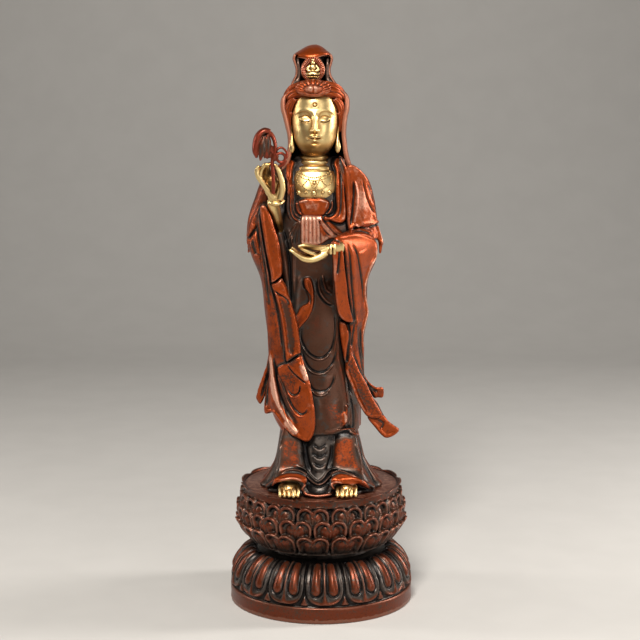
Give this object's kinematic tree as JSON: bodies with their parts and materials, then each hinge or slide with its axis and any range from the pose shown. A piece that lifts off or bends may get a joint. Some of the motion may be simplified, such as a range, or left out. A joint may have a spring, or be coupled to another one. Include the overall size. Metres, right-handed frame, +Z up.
{
  "type": "standing guanyin figure",
  "caption": "Cast standing figure in layered robes on a lotus pedestal, holding a lotus sprig; an ornament that stands on a table or shelf.",
  "frame": {"origin": "centre of the pedestal's underside, on the table", "axes": "+Z up to the top of the veil, the figure looks towards -Y, +X to the viewer's right"},
  "size_m": [0.104, 0.104, 0.3148],
  "materials": {
    "lacquered_bronze": "orange-red patina on the raised cloth, near-black in the folds, worn gilding on face, neck, chest, hands and feet, waxed",
    "dark_bronze": "red-brown patina rubbed bright on the petal rims, grey-black in the recesses, waxed",
    "red_bronze": "orange-red patina with worn paler edges, waxed"
  },
  "bodies": {
    "root": {"figure": "lacquered_bronze", "lotus_pedestal": "dark_bronze", "lotus_sprig": "red_bronze"}
  },
  "joints": []
}
